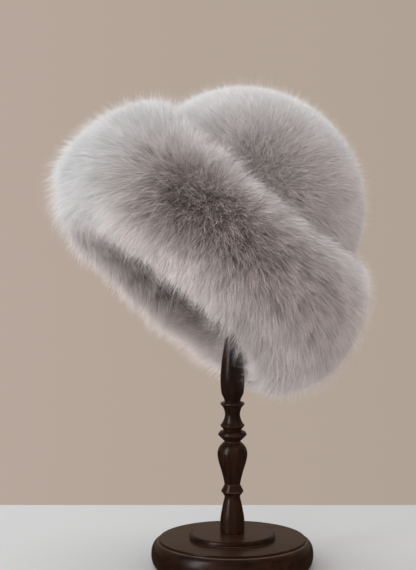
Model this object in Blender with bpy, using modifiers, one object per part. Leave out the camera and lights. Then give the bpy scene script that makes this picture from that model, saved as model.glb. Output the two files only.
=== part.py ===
"""Domed fur hat with a deep turned-up fur cuff, tilted on a turned wooden hat stand.

Metres, +Z up. The origin is the centre of the stand's underside, and the post stands on the Z axis.
The hat is modelled in its own frame, with the centre of the crown's dome at the origin and the
head opening below it, and an empty then seats it on the stand's knob. The hat's front faces -Y.
"""

import math

import bpy
from mathutils import Matrix, Vector

# Stand: a stepped round base, a riser, a turned post and a plain knob inside the hat
BASE_RADIUS = 0.0824
BASE_TOP_RADIUS = 0.0745
BASE_HEIGHT = 0.0285
BASE_LIP = 0.0030
RISER_RADIUS = 0.0436
RISER_HEIGHT = 0.0052
POST_RADIUS = 0.0152
POST_HEIGHT = 0.3920
KNOB_RADIUS = 0.0300
KNOB_NECK_RADIUS = 0.0065
JOINT_GAP = 0.0003
BASE_SIDES = 40
POST_SIDES = 18

# Hat: crown wall, cuff wall, and the fur that covers both
HEAD_RADIUS = 0.0940
CROWN_WALL = 0.0030
CROWN_FUR_DEPTH = 0.0248
CUFF_RADIUS = 0.1440
CUFF_TOP = 0.0220
CUFF_RIM = 0.1060
CUFF_WALL = 0.0030
CUFF_FUR_DEPTH = 0.0300
FRONT_DIP = 0.0200
FRONT_LIFT = 0.0210
BACK_DROP = 0.0140
LOCK_RELIEF = 0.0050
SEAM_GAP = 0.0006
HAT_SIDES = 44

# How the hat sits: it leans to its own right and backwards over the knob
HAT_TILT = math.radians(39.0)
HAT_LEAN_BACK = math.radians(7.5)
SEAT_ANGLE = math.radians(9.5)
SEAT_GAP = 0.0007

# Turned post, from its foot to the knob's neck. up: share of POST_HEIGHT, out: share of POST_RADIUS,
# sharp: True where the line has a corner
POST_PROFILE = (
    {"up": 0.000, "out": 0.79, "sharp": True},
    {"up": 0.006, "out": 0.82, "sharp": False},
    {"up": 0.022, "out": 0.815, "sharp": False},
    {"up": 0.042, "out": 0.78, "sharp": False},
    {"up": 0.072, "out": 0.64, "sharp": False},
    {"up": 0.090, "out": 0.53, "sharp": False},
    {"up": 0.097, "out": 0.53, "sharp": True},
    {"up": 0.108, "out": 0.75, "sharp": True},
    {"up": 0.126, "out": 0.52, "sharp": True},
    {"up": 0.142, "out": 0.6, "sharp": False},
    {"up": 0.162, "out": 0.735, "sharp": False},
    {"up": 0.204, "out": 0.99, "sharp": False},
    {"up": 0.224, "out": 0.87, "sharp": False},
    {"up": 0.237, "out": 0.56, "sharp": True},
    {"up": 0.239, "out": 0.525, "sharp": True},
    {"up": 0.256, "out": 0.96, "sharp": True},
    {"up": 0.266, "out": 0.76, "sharp": False},
    {"up": 0.268, "out": 0.57, "sharp": True},
    {"up": 0.280, "out": 0.81, "sharp": True},
    {"up": 0.291, "out": 0.59, "sharp": False},
    {"up": 0.308, "out": 0.5, "sharp": False},
    {"up": 0.325, "out": 0.61, "sharp": False},
    {"up": 0.336, "out": 0.81, "sharp": True},
    {"up": 0.339, "out": 0.78, "sharp": True},
    {"up": 0.342, "out": 0.505, "sharp": True},
    {"up": 0.355, "out": 0.625, "sharp": False},
    {"up": 0.393, "out": 0.8, "sharp": False},
    {"up": 0.417, "out": 0.79, "sharp": False},
    {"up": 0.450, "out": 0.715, "sharp": False},
    {"up": 0.487, "out": 0.56, "sharp": False},
    {"up": 0.540, "out": 0.45, "sharp": True},
)

# Section of the cuff's wall, from its top edge down the outside, round the rim and up to the head
# opening. across: share from the crown's wall to CUFF_RADIUS, down: share from the top edge to the
# rim, fur: hair length as a share of CUFF_FUR_DEPTH, angle: the hair's direction in degrees above
# the horizontal
CUFF_SECTION = (
    {"across": 0.06, "down": 0.00, "fur": 0.72, "angle": 22},
    {"across": 0.44, "down": 0.08, "fur": 0.90, "angle": 19},
    {"across": 0.76, "down": 0.24, "fur": 0.97, "angle": 14},
    {"across": 0.94, "down": 0.42, "fur": 1.00, "angle": 4},
    {"across": 1.00, "down": 0.62, "fur": 1.01, "angle": -9},
    {"across": 0.92, "down": 0.81, "fur": 1.02, "angle": -25},
    {"across": 0.72, "down": 0.95, "fur": 0.98, "angle": -47},
    {"across": 0.51, "down": 1.00, "fur": 0.94, "angle": -80},
    {"across": 0.31, "down": 0.97, "fur": 0.68, "angle": -93},
    {"across": 0.13, "down": 0.90, "fur": 0.43, "angle": -112},
    {"across": -0.02, "down": 0.80, "fur": 0.26, "angle": -135},
)

CROWN_RADIUS = HEAD_RADIUS + CROWN_WALL


def clear_scene():
    for old in list(bpy.data.objects):
        bpy.data.objects.remove(old, do_unlink=True)


def collection(name):
    made = bpy.data.collections.new(name)
    bpy.context.scene.collection.children.link(made)
    return made


def material(name, colour, roughness):
    made = bpy.data.materials.new(name)
    made.use_nodes = True
    shader = made.node_tree.nodes["Principled BSDF"]
    shader.inputs["Base Color"].default_value = (*colour, 1.0)
    shader.inputs["Roughness"].default_value = roughness
    shader.inputs["Metallic"].default_value = 0.0
    made.diffuse_color = (*colour, 1.0)
    return made


def smooth_line(points, sharp, steps):
    """A line through the points, curved by Catmull-Rom except where a point is sharp."""
    line = []
    last = len(points) - 1
    for i in range(last):
        a, b = points[i], points[i + 1]
        before = a - (b - a) if i == 0 or sharp[i] else points[i - 1]
        after = b + (b - a) if i + 1 == last or sharp[i + 1] else points[i + 2]
        count = 1 if sharp[i] and sharp[i + 1] else steps
        for k in range(count):
            t = k / count
            line.append(
                0.5
                * (
                    2 * a
                    + (b - before) * t
                    + (2 * before - 5 * a + 4 * b - after) * t**2
                    + (3 * a - before - 3 * b + after) * t**3
                )
            )
    line.append(points[last])
    return line


def turned(name, outline, sides, closed=False):
    """An object with the outline, (radius, height) from its top down, screwed round the Z axis."""
    mesh = bpy.data.meshes.new(name)
    count = len(outline)
    edges = [(i, i + 1) for i in range(count - 1)]
    if closed:
        edges.append((count - 1, 0))
    mesh.from_pydata([(r, 0.0, z) for r, z in outline], edges, [])
    made = bpy.data.objects.new(name, mesh)
    bpy.context.scene.collection.objects.link(made)
    screw = made.modifiers.new("Screw", "SCREW")
    screw.axis = "Z"
    screw.angle = 2 * math.pi
    screw.steps = sides
    screw.render_steps = sides
    screw.use_merge_vertices = True
    screw.merge_threshold = 0.00001
    return made


def applied(made):
    """Replaces the object's mesh by what its modifiers make of it."""
    depsgraph = bpy.context.evaluated_depsgraph_get()
    mesh = bpy.data.meshes.new_from_object(made.evaluated_get(depsgraph))
    made.modifiers.clear()
    made.data = mesh
    return made


def finish_piece(made, group, look, parent=None, smooth_below=40):
    """Files the object in the group, gives it its material and shades it smooth."""
    bpy.context.scene.collection.objects.unlink(made)
    group.objects.link(made)
    made.data.materials.clear()
    made.data.materials.append(look)
    made.data.shade_smooth()
    made.data.set_sharp_from_angle(angle=math.radians(smooth_below))
    if parent is not None:
        made.parent = parent
    return made


def stand_heights():
    """Where the stand's pieces start, from the floor up."""
    base_top = BASE_HEIGHT
    riser_top = base_top + JOINT_GAP + RISER_HEIGHT
    post_foot = riser_top + JOINT_GAP
    knob_centre = post_foot + POST_HEIGHT
    return base_top, riser_top, post_foot, knob_centre


def make_base(group, look):
    """Round base: a flat top with a small lip, then a bead that is fullest near the middle."""
    bead_top = BASE_HEIGHT - BASE_LIP
    neck = 0.5 * (BASE_TOP_RADIUS + BASE_RADIUS)
    bead = 0.5 * bead_top
    swell = BASE_RADIUS - neck
    outline = [
        (0.0, BASE_HEIGHT),
        (BASE_TOP_RADIUS - 0.3 * BASE_LIP, BASE_HEIGHT),
        (BASE_TOP_RADIUS, BASE_HEIGHT - 0.3 * BASE_LIP),
        (BASE_TOP_RADIUS, bead_top),
    ]
    for k in range(9):
        turn = math.radians(90 - 180 * k / 8)
        outline.append((neck + swell * math.cos(turn), bead + bead * math.sin(turn)))
    outline.append((0.0, 0.0))
    return finish_piece(turned("stand_base", outline, BASE_SIDES), group, look)


def make_riser(group, look):
    """Low round step on the base, with a rounded upper edge."""
    base_top, riser_top, _, _ = stand_heights()
    foot = base_top + JOINT_GAP
    edge = 0.6 * RISER_HEIGHT
    outline = [(0.0, riser_top)]
    for k in range(4):
        turn = math.radians(90 - 30 * k)
        outline.append(
            (
                RISER_RADIUS - edge + edge * math.cos(turn),
                riser_top - edge + edge * math.sin(turn),
            )
        )
    outline += [(RISER_RADIUS, foot), (0.0, foot)]
    return finish_piece(turned("stand_riser", outline, BASE_SIDES), group, look)


def make_post(group, look):
    """Turned post: foot, rings, vase, spindle, then a plain shank up to the knob's underside."""
    _, _, foot, knob_centre = stand_heights()
    points = [
        Vector((row["out"] * POST_RADIUS, foot + row["up"] * POST_HEIGHT))
        for row in POST_PROFILE
    ]
    line = smooth_line(points, [row["sharp"] for row in POST_PROFILE], 2)
    shank_top = knob_bottom(knob_centre) - JOINT_GAP
    outline = [(0.0, shank_top), (KNOB_NECK_RADIUS, shank_top)]
    outline += [(p.x, p.y) for p in reversed(line)]
    outline.append((0.0, foot))
    return finish_piece(
        turned("stand_post", outline, POST_SIDES), group, look, smooth_below=35
    )


def knob_bottom(knob_centre):
    """Height of the flat under the knob, where the shank ends."""
    return knob_centre - math.sqrt(KNOB_RADIUS**2 - KNOB_NECK_RADIUS**2)


def make_knob(group, look):
    """Plain ball with a flat underside, hidden in the crown."""
    centre = stand_heights()[3]
    rows = 9
    start = math.pi / 2
    end = math.asin((knob_bottom(centre) - centre) / KNOB_RADIUS)
    outline = []
    for k in range(rows + 1):
        turn = start + (end - start) * k / rows
        outline.append(
            (KNOB_RADIUS * math.cos(turn), centre + KNOB_RADIUS * math.sin(turn))
        )
    outline[0] = (0.0, centre + KNOB_RADIUS)
    outline.append((0.0, knob_bottom(centre)))
    return finish_piece(turned("stand_knob", outline, POST_SIDES), group, look)


def front_share(x, y):
    """1 at the hat's front, 0 at its sides and back, without a kink."""
    away = math.hypot(x, y)
    return 0.0 if away < 1e-9 else max(0.0, -y / away) ** 1.5


def back_share(x, y):
    return front_share(x, -y)


def cuff_shift(x, y, z):
    """How far the cuff is moved along the hat's axis: it is shallower in front, deeper behind."""
    up = min(1.0, max(0.0, (z + CUFF_RIM) / (CUFF_TOP + CUFF_RIM)))
    front, back = front_share(x, y), back_share(x, y)
    return (
        front * (FRONT_LIFT * (1 - up) - FRONT_DIP * up) - back * BACK_DROP * (1 - up)
    )


def crown_surface(arc, offset):
    """(radius, height) at an arc length from the dome's top, offset outwards from the crown's wall."""
    quarter = CROWN_RADIUS * math.pi / 2
    reach = CROWN_RADIUS + offset
    if arc > quarter:
        return reach, quarter - arc
    turn = arc / CROWN_RADIUS
    return reach * math.sin(turn), reach * math.cos(turn)


def crown_arc(height, offset):
    """The arc length from the dome's top at which the offset surface has that height."""
    quarter = CROWN_RADIUS * math.pi / 2
    if height <= 0:
        return quarter - height
    return CROWN_RADIUS * math.acos(min(1.0, height / (CROWN_RADIUS + offset)))


def cuff_wall_points():
    """The cuff's wall on its fur side, as (radius, height), from the top edge to the opening."""
    start = CROWN_RADIUS + SEAM_GAP
    return [
        Vector(
            (
                start + row["across"] * (CUFF_RADIUS - start),
                CUFF_TOP - row["down"] * (CUFF_TOP + CUFF_RIM),
            )
        )
        for row in CUFF_SECTION
    ]


def cuff_hair(row):
    """The step from the wall to the hair's tips at a row of the cuff's section."""
    angle = math.radians(row["angle"])
    length = row["fur"] * CUFF_FUR_DEPTH
    return Vector((math.cos(angle), math.sin(angle))) * length


def smooth_rows(points, rows):
    """Points at even shares of a smooth line's length."""
    line = smooth_line(points, [False] * len(points), 8)
    lengths = [0.0]
    for a, b in zip(line, line[1:]):
        lengths.append(lengths[-1] + (b - a).length)
    return [point_at(line, lengths, share) for share in rows]


def point_at(line, lengths, share):
    want = share * lengths[-1]
    for k in range(len(line) - 1):
        if lengths[k + 1] >= want:
            span = max(lengths[k + 1] - lengths[k], 1e-9)
            return line[k].lerp(line[k + 1], (want - lengths[k]) / span)
    return line[-1]


def lock_rows(start, end, bands, relief):
    """Rows of fur locks between two shares of a section: the share, the band that it belongs to,
    how far along the lock it lies, from its root to just before its tip, and how far it rises."""
    rows = []
    for band in range(bands):
        for along in (0.0, 0.5, 0.9):
            share = start + (end - start) * (band + along) / bands
            rows.append({"share": share, "band": band, "along": along, "relief": relief})
    return rows


def lock_height(column, row):
    """How far a lock stands out at a column: a ridge that rises to its tip, beside a hollow."""
    ridge = (column + row["band"]) % 2 == 0
    return row["relief"] * (row["along"] if ridge else -0.45)


def make_crown_wall(group, look, hat):
    """Hollow dome of pelt with a straight skirt that ends where the cuff's wall is sewn to it."""
    edge = cuff_wall_points()[-1].y + SEAM_GAP
    length = crown_arc(edge, 0.0)
    rows = 9
    outline = [crown_surface(length * k / rows, 0.0) for k in range(rows + 1)]
    outline[0] = (0.0, CROWN_RADIUS)
    made = applied(turned("crown_wall", outline, HAT_SIDES))
    for vertex in made.data.vertices:
        x, y, z = vertex.co
        if z < 0:
            vertex.co.z = z + cuff_shift(x, y, edge) * z / edge
    solidify = made.modifiers.new("Solidify", "SOLIDIFY")
    solidify.thickness = CROWN_WALL
    solidify.offset = -1
    return finish_piece(made, group, look, hat)


def make_cuff_wall(group, look, hat):
    """Turned-up band of pelt: down the outside, round the rim and up to the head opening."""
    outline = [(p.x, p.y) for p in cuff_wall_points()]
    made = applied(turned("cuff_wall", outline, HAT_SIDES))
    for vertex in made.data.vertices:
        x, y, z = vertex.co
        vertex.co.z = z + cuff_shift(x, y, z)
    solidify = made.modifiers.new("Solidify", "SOLIDIFY")
    solidify.thickness = CUFF_WALL
    solidify.offset = -1
    return finish_piece(made, group, look, hat)


def column_of(x, y):
    return round(math.atan2(y, x) / (2 * math.pi) * HAT_SIDES) % HAT_SIDES


def make_crown_fur(group, look, hat):
    """Fur over the dome: locks that run down from the top, fused to the skin under them."""
    edge_tip = cuff_wall_points()[0] + cuff_hair(CUFF_SECTION[0])
    rows = lock_rows(0.0, 1.0, 5, LOCK_RELIEF)[1:]
    rows.append({"share": 1.0})
    inner_rows = 8
    sag = CROWN_RADIUS * (1 - math.cos(math.pi / 4 / inner_rows))
    outline = [(0.0, 1.0)]
    outline += [(row["share"], 1.0) for row in rows]
    outline += [(1 - k / inner_rows, 0.0) for k in range(inner_rows)]
    outline.append((0.0, 0.0))
    made = applied(turned("crown_fur", outline, HAT_SIDES))
    for vertex in made.data.vertices:
        x, y, layer = vertex.co
        share = math.hypot(x, y)
        dip = cuff_shift(x, y, CUFF_TOP)
        outer = layer > 0.5
        depth = CROWN_FUR_DEPTH if outer else SEAM_GAP + sag
        foot = (edge_tip.y if outer else CUFF_TOP) + 2 * SEAM_GAP + dip
        if outer and 0.01 < share < 0.99:
            row = min(rows, key=lambda r: abs(r["share"] - share))
            depth += lock_height(column_of(x, y), row) * min(1.0, 3 * share)
        radius, height = crown_surface(share * crown_arc(foot, depth), depth)
        spread = radius / share if share > 1e-6 else 0.0
        vertex.co = (x * spread, y * spread, height)
    return finish_piece(made, group, look, hat)


def make_cuff_fur(group, look, hat):
    """Fur round the cuff: locks that part near the top and meet under the rim, on one backing."""
    wall = cuff_wall_points()
    tips = [p + cuff_hair(row) for p, row in zip(wall, CUFF_SECTION)]
    part, rim = 0.20, 0.66
    rows = lock_rows(part, 0.0, 2, LOCK_RELIEF)[::-1]
    rows += lock_rows(part, rim, 4, LOCK_RELIEF)[1:]
    rows += lock_rows(1.0, rim, 2, 0.3 * LOCK_RELIEF)[::-1]
    shares = [row["share"] for row in rows]
    outer = smooth_rows(tips, shares)
    normals = []
    for k, point in enumerate(outer):
        run = outer[min(k + 1, len(outer) - 1)] - outer[max(k - 1, 0)]
        normals.append(Vector((-run.y, run.x)).normalized())
    inner = []
    for k, point in enumerate(wall):
        run = wall[min(k + 1, len(wall) - 1)] - wall[max(k - 1, 0)]
        inner.append(point + Vector((-run.y, run.x)).normalized() * SEAM_GAP)
    inner.reverse()
    outline = [(p.x, p.y) for p in outer] + [(p.x, p.y) for p in inner]
    made = applied(turned("cuff_fur", outline, HAT_SIDES, closed=True))
    for vertex in made.data.vertices:
        x, y, z = vertex.co
        radius = math.hypot(x, y)
        k = min(range(len(outer)), key=lambda i: (outer[i] - Vector((radius, z))).length)
        if 0 < k < len(outer) - 1 and (outer[k] - Vector((radius, z))).length < 1e-5:
            step = normals[k] * lock_height(column_of(x, y), rows[k])
            x, y = x * (radius + step.x) / radius, y * (radius + step.x) / radius
            z += step.y
        vertex.co = (x, y, z + cuff_shift(x, y, z))
    return finish_piece(made, group, look, hat)


def seat_hat():
    """An empty that carries the hat, placed so that the dome's inside rests on the knob."""
    hat = bpy.data.objects.new("hat_pose", None)
    bpy.context.scene.collection.objects.link(hat)
    knob = Vector((0.0, 0.0, stand_heights()[3]))
    reach = HEAD_RADIUS - KNOB_RADIUS - SEAT_GAP
    to_knob = Vector((-math.sin(SEAT_ANGLE), 0.0, math.cos(SEAT_ANGLE)))
    turn = Matrix.Rotation(-HAT_LEAN_BACK, 4, "X") @ Matrix.Rotation(HAT_TILT, 4, "Y")
    hat.matrix_world = Matrix.Translation(knob - reach * to_knob) @ turn
    return hat


def main():
    clear_scene()
    group = collection("fur_hat_on_stand")
    wood = material("dark_wood", (0.045, 0.026, 0.019), 0.35)
    pelt = material("pelt_leather", (0.42, 0.36, 0.31), 0.85)
    crown_fur = material("crown_fur", (0.62, 0.61, 0.60), 0.95)
    cuff_fur = material("cuff_fur", (0.56, 0.54, 0.53), 0.95)
    make_base(group, wood)
    make_riser(group, wood)
    make_post(group, wood)
    make_knob(group, wood)
    hat = seat_hat()
    make_crown_wall(group, pelt, hat)
    make_cuff_wall(group, pelt, hat)
    make_crown_fur(group, crown_fur, hat)
    make_cuff_fur(group, cuff_fur, hat)


main()
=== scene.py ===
"""Looks of the domed fur hat with a turned-up fur cuff, tilted on its turned wooden stand.

Metres, +Z up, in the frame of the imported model. The hat's fur is made in the hat's own frame, with
the centre of the crown's dome at the origin, and then carried to where the hat sits on the knob.
A hair is a narrow ribbon that tapers to its tip, rooted on a dark undercoat. In some layers it is
one straight triangle, and in the others it bends in its middle.
"""

import math

import bmesh
import bpy
import numpy as np
from mathutils import Matrix, Vector


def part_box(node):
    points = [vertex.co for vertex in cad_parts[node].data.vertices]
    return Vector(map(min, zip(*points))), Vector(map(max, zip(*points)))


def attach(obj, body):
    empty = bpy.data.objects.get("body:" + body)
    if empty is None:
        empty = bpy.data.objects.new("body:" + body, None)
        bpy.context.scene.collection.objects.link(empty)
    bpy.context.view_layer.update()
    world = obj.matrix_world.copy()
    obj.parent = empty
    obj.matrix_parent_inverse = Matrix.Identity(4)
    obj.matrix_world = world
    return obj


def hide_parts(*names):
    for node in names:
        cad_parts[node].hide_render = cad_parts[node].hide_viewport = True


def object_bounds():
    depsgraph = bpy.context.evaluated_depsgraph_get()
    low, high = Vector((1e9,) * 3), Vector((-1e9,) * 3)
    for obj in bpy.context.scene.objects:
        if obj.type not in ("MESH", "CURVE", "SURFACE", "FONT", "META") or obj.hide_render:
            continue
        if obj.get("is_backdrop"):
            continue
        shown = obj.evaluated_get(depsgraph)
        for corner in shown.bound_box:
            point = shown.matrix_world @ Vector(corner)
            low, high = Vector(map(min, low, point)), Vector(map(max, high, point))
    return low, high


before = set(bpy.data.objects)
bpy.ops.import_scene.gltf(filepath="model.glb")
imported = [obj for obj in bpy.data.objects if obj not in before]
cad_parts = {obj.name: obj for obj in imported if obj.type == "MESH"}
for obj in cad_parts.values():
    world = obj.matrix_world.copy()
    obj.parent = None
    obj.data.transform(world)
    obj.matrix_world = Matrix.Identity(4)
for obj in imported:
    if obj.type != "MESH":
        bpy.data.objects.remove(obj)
CAD_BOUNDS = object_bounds()

# Hat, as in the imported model
HEAD_RADIUS = 0.0940
CROWN_WALL = 0.0030
CROWN_FUR_DEPTH = 0.0248
CUFF_RADIUS = 0.1440
CUFF_TOP = 0.0220
CUFF_RIM = 0.1060
CUFF_FUR_DEPTH = 0.0300
FRONT_DIP = 0.0200
FRONT_LIFT = 0.0210
BACK_DROP = 0.0140
SEAM_GAP = 0.0006
HAT_TILT = math.radians(39.0)
HAT_LEAN_BACK = math.radians(7.5)
SEAT_ANGLE = math.radians(9.5)
SEAT_GAP = 0.0007
CROWN_RADIUS = HEAD_RADIUS + CROWN_WALL

# Section of the cuff's wall, from its top edge down the outside, round the rim and up to the head
# opening. across: share from the crown's wall to CUFF_RADIUS, down: share from the top edge to the
# rim, fur: hair length as a share of CUFF_FUR_DEPTH, angle: degrees above the horizontal
CUFF_SECTION = (
    {"across": 0.06, "down": 0.00, "fur": 0.72, "angle": 22},
    {"across": 0.44, "down": 0.08, "fur": 0.90, "angle": 19},
    {"across": 0.76, "down": 0.24, "fur": 0.97, "angle": 14},
    {"across": 0.94, "down": 0.42, "fur": 1.00, "angle": 4},
    {"across": 1.00, "down": 0.62, "fur": 1.01, "angle": -9},
    {"across": 0.92, "down": 0.81, "fur": 1.02, "angle": -25},
    {"across": 0.72, "down": 0.95, "fur": 0.98, "angle": -47},
    {"across": 0.51, "down": 1.00, "fur": 0.94, "angle": -80},
    {"across": 0.31, "down": 0.97, "fur": 0.68, "angle": -93},
    {"across": 0.13, "down": 0.90, "fur": 0.43, "angle": -112},
    {"across": -0.02, "down": 0.80, "fur": 0.26, "angle": -135},
)

# Fur. Depths are shares of its own, from the wall, 0, to its surface, 1: the undercoat's, the one at
# which the ways along the surface are taken, and the longest hair's. The whorl is where the cuff's
# hair parts in front, and the crown's hair is swept back
TRIANGLES_PER_PIECE = 190000
UNDERCOAT_DEPTH = 0.36
FRAME_DEPTH = 0.8
LONGEST = 1.31
WHORL_ANGLE = math.radians(-93.0)
WHORL_SHARE = 0.30
CROWN_SWEEP = 0.15
CROWN_END = math.radians(82)
CROWN_ROOT_SHADE = 0.4

# How far hairs lean and hang, as shares of their length
CUFF_LEAN = 0.42
CROWN_LEAN = 0.12
CROWN_DROOP = 0.12

# A single hair: the least that it rises from the skin, how far its middle strays, as shares of its
# length, how far its flat side turns, how far its shade strays, and its middle's share of a lock's pull
LEAST_RISE = 0.45
BOW = 0.04
TWIST = 0.35
SHADE_STRAY = 0.05
MIDDLE_PULL = 0.35

# Distance between the middles of neighbouring locks, and how far a tuft of the rim draws its tips
CROWN_LOCK = 0.0021
SMALL_LOCK = 0.0024
RIM_TUFT = 0.0036
LARGE_LOCK = 0.0065
TUFT_RADIUS = 0.0024
TUFT_PULL = 0.62

# Layers of hair, from the skin out. count: hairs, width: metres at the root, reach: the depth of the
# tips, spread: how unequal in length, lock: how far a lock's tips meet, bent: False for straight
# hairs, stray: how far single hairs differ, pale: how much less dark they are in the dark coat
CROWN_LAYERS = (
    {"name": "crown_down", "count": 76000, "width": 0.00048, "reach": 0.92, "spread": 0.05,
     "lock": 0.20, "bent": False, "stray": 0.19},
    {"name": "crown_hair", "count": 34000, "width": 0.00040, "reach": 0.98, "spread": 0.06,
     "lock": 0.35, "bent": True, "stray": 0.16},
    {"name": "crown_guard", "count": 22000, "width": 0.00020, "reach": 1.12, "spread": 0.14,
     "lock": 0.00, "bent": False, "stray": 0.10},
)
CUFF_LAYERS = (
    {"name": "cuff_down", "count": 210000, "width": 0.00050, "reach": 0.88, "spread": 0.06,
     "lock": 0.40, "bent": False, "stray": 0.12},
    {"name": "cuff_hair", "count": 112000, "width": 0.00040, "reach": 0.93, "spread": 0.08,
     "lock": 0.40, "bent": True, "stray": 0.13},
    {"name": "cuff_guard", "count": 56000, "width": 0.00020, "reach": 1.08, "spread": 0.13,
     "lock": 0.10, "bent": False, "stray": 0.12},
    {"name": "cuff_halo", "count": 14000, "width": 0.00020, "reach": 1.20, "spread": 0.12,
     "lock": 0.20, "bent": False, "stray": 0.16},
    {"name": "cuff_long", "count": 5000, "width": 0.00026, "reach": 1.28, "spread": 0.10,
     "lock": 0.20, "bent": True, "stray": 0.14},
    {"name": "cuff_awn", "count": 28000, "width": 0.00038, "reach": 0.93, "spread": 0.07,
     "lock": 0.36, "bent": True, "stray": 0.20, "pale": 0.65},
    {"name": "cuff_nap", "count": 110000, "width": 0.00030, "reach": 0.96, "spread": 0.09,
     "lock": 0.25, "bent": False, "stray": 0.26, "pale": 0.65},
)

# Where the dark coat shows, and where shade is painted in its colours: CROWN_SHADE on the crown
# towards the cuff, and INSIDE_SHADE_ANGLE, the side where the rim's inside is painted darkest.
# across: degrees round the hat, arc: share of the section, drop: how much lower it lies on its left,
# share: how much shows there, and the rest is how far it reaches
PATCH = {"arc": 0.325, "drop": 0.10, "left": 22, "right": 42, "height": 0.17, "share": 0.66}
RUN = {
    "across": 15, "left": 38, "right": 75, "arc": 0.37, "above": 0.22, "below": 0.17, "share": 0.44
}
PARTING = {"across": -30, "arc": 0.285, "width": 2.2, "height": 0.035, "share": 0.35}
CROWN_SHADE = {"angle": math.radians(-80), "width": 45, "share": 0.17}
INSIDE_SHADE_ANGLE = math.radians(128)

# Where the crown is rosy, partly a painted warm tint of shade, where painted light makes it
# lightest, and where painted shade makes the cuff darkest, with painted light on its opposite side
CROWN_ROSE = {"across": 25, "width": 65, "share": 0.85}
CROWN_LIT_ANGLE = math.radians(-135)
CUFF_DIM_ANGLE = math.radians(-165)

# Stand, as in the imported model
BASE_RADIUS = 0.0824
BASE_TOP_RADIUS = 0.0745
BASE_HEIGHT = 0.0285
BASE_LIP = 0.0030
RISER_RADIUS = 0.0436
RISER_HEIGHT = 0.0052
POST_RADIUS = 0.0152
POST_HEIGHT = 0.3920
KNOB_RADIUS = 0.0300
KNOB_NECK_RADIUS = 0.0065
JOINT_GAP = 0.0003

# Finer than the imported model: how far corners are eased, the sides and steps of turned pieces, and
# the angle between faces from which an edge looks sharp. Points within SAME_PLACE count as one
EASED_EDGE = 0.0009
LIP_EASE = 0.3 * BASE_LIP
FLAT_SIDES = 128
UPRIGHT_SIDES = 80
ROUND_STEPS = 24
SHARP_ANGLE = math.radians(38)
SAME_PLACE = 0.00001

# Turned post, from its foot to the knob's neck. up: share of POST_HEIGHT, out: share of POST_RADIUS,
# sharp: True where the line has a corner
POST_PROFILE = (
    {"up": 0.000, "out": 0.79, "sharp": True},
    {"up": 0.006, "out": 0.82, "sharp": False},
    {"up": 0.022, "out": 0.815, "sharp": False},
    {"up": 0.042, "out": 0.78, "sharp": False},
    {"up": 0.072, "out": 0.64, "sharp": False},
    {"up": 0.090, "out": 0.53, "sharp": False},
    {"up": 0.097, "out": 0.53, "sharp": True},
    {"up": 0.108, "out": 0.755, "sharp": True},
    {"up": 0.126, "out": 0.52, "sharp": True},
    {"up": 0.142, "out": 0.6, "sharp": False},
    {"up": 0.162, "out": 0.735, "sharp": False},
    {"up": 0.186, "out": 0.92, "sharp": False},
    {"up": 0.204, "out": 0.995, "sharp": False},
    {"up": 0.217, "out": 0.95, "sharp": False},
    {"up": 0.228, "out": 0.80, "sharp": False},
    {"up": 0.237, "out": 0.56, "sharp": True},
    {"up": 0.239, "out": 0.525, "sharp": True},
    {"up": 0.256, "out": 0.965, "sharp": True},
    {"up": 0.264, "out": 0.83, "sharp": False},
    {"up": 0.268, "out": 0.57, "sharp": True},
    {"up": 0.280, "out": 0.815, "sharp": True},
    {"up": 0.291, "out": 0.62, "sharp": False},
    {"up": 0.308, "out": 0.5, "sharp": False},
    {"up": 0.325, "out": 0.60, "sharp": False},
    {"up": 0.336, "out": 0.815, "sharp": True},
    {"up": 0.339, "out": 0.785, "sharp": True},
    {"up": 0.343, "out": 0.51, "sharp": True},
    {"up": 0.354, "out": 0.62, "sharp": False},
    {"up": 0.365, "out": 0.74, "sharp": False},
    {"up": 0.393, "out": 0.80, "sharp": False},
    {"up": 0.417, "out": 0.785, "sharp": False},
    {"up": 0.450, "out": 0.705, "sharp": False},
    {"up": 0.487, "out": 0.575, "sharp": False},
    {"up": 0.540, "out": 0.45, "sharp": True},
)

# Camera, fitted to the photograph's view of the round base and the hat, and the stage
CAMERA_PLACE = (-0.0247, -1.5, 0.405)
CAMERA_PITCH = math.radians(4.53)
CAMERA_LENS = 94.74
CAMERA_SENSOR = 36.0
TABLE_BACK = 0.272
LIT_POINT = (0.0, 0.0, 0.3)

rng = np.random.default_rng(7)


def normalized(rows):
    return rows / np.maximum(np.linalg.norm(rows, axis=-1, keepdims=True), 1e-12)


def dot(a, b):
    return np.sum(a * b, axis=-1, keepdims=True)


def smooth_step(low, high, value):
    """0 below low, 1 above high and smooth between them. With low above high it falls instead."""
    share = np.clip((value - low) / (high - low), 0.0, 1.0)
    return share * share * (3 - 2 * share)


def hump(value, middle, width, power=2):
    """1 at the middle, and less the more widths away. A higher power makes its top flatter."""
    return np.exp(-(((value - middle) / width) ** power))


def spline_point(before, a, b, after, t):
    """A point of the Catmull-Rom curve from a to b."""
    return 0.5 * (
        2 * a
        + (b - before) * t
        + (2 * before - 5 * a + 4 * b - after) * t**2
        + (3 * a - before - 3 * b + after) * t**3
    )


def catmull_rom(points, steps):
    """A dense line through the points, as rows."""
    points = np.asarray(points, float)
    padded = np.vstack([2 * points[0] - points[1], points, 2 * points[-1] - points[-2]])
    rows = []
    for i in range(len(points) - 1):
        rows += [spline_point(*padded[i : i + 4], k / steps) for k in range(steps)]
    rows.append(points[-1])
    return np.array(rows)


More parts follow.
